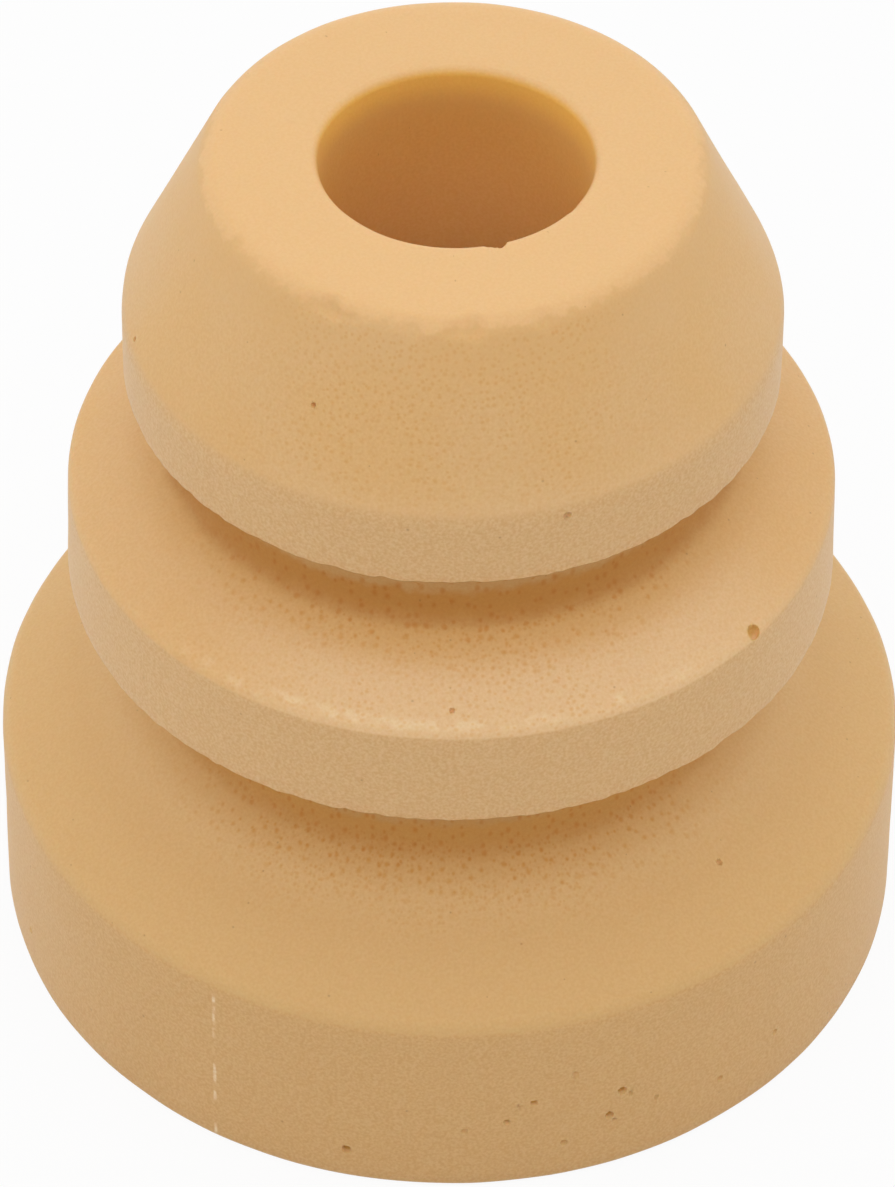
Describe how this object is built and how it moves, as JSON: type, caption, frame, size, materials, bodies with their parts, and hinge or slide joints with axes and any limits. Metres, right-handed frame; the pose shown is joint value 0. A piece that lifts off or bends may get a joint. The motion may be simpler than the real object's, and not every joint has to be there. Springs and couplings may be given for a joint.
{
  "type": "suspension bump stop",
  "caption": "Tan moulded foam bump stop: stepped round lobes with deep folding grooves, narrowing to a flat nose, with a straight bore for a damper shaft.",
  "frame": {"origin": "centre of the bore in the plane of the flat seat face at the wide end", "axes": "+Z along the bore from the seat face to the nose; X and Y are any two square directions, as the part is round"},
  "size_m": [0.059, 0.059, 0.061],
  "materials": {
    "cellular_polyurethane": "matte moulded microcellular polyurethane, tan"
  },
  "bodies": {
    "root": {"bump_stop": "cellular_polyurethane"}
  },
  "joints": []
}
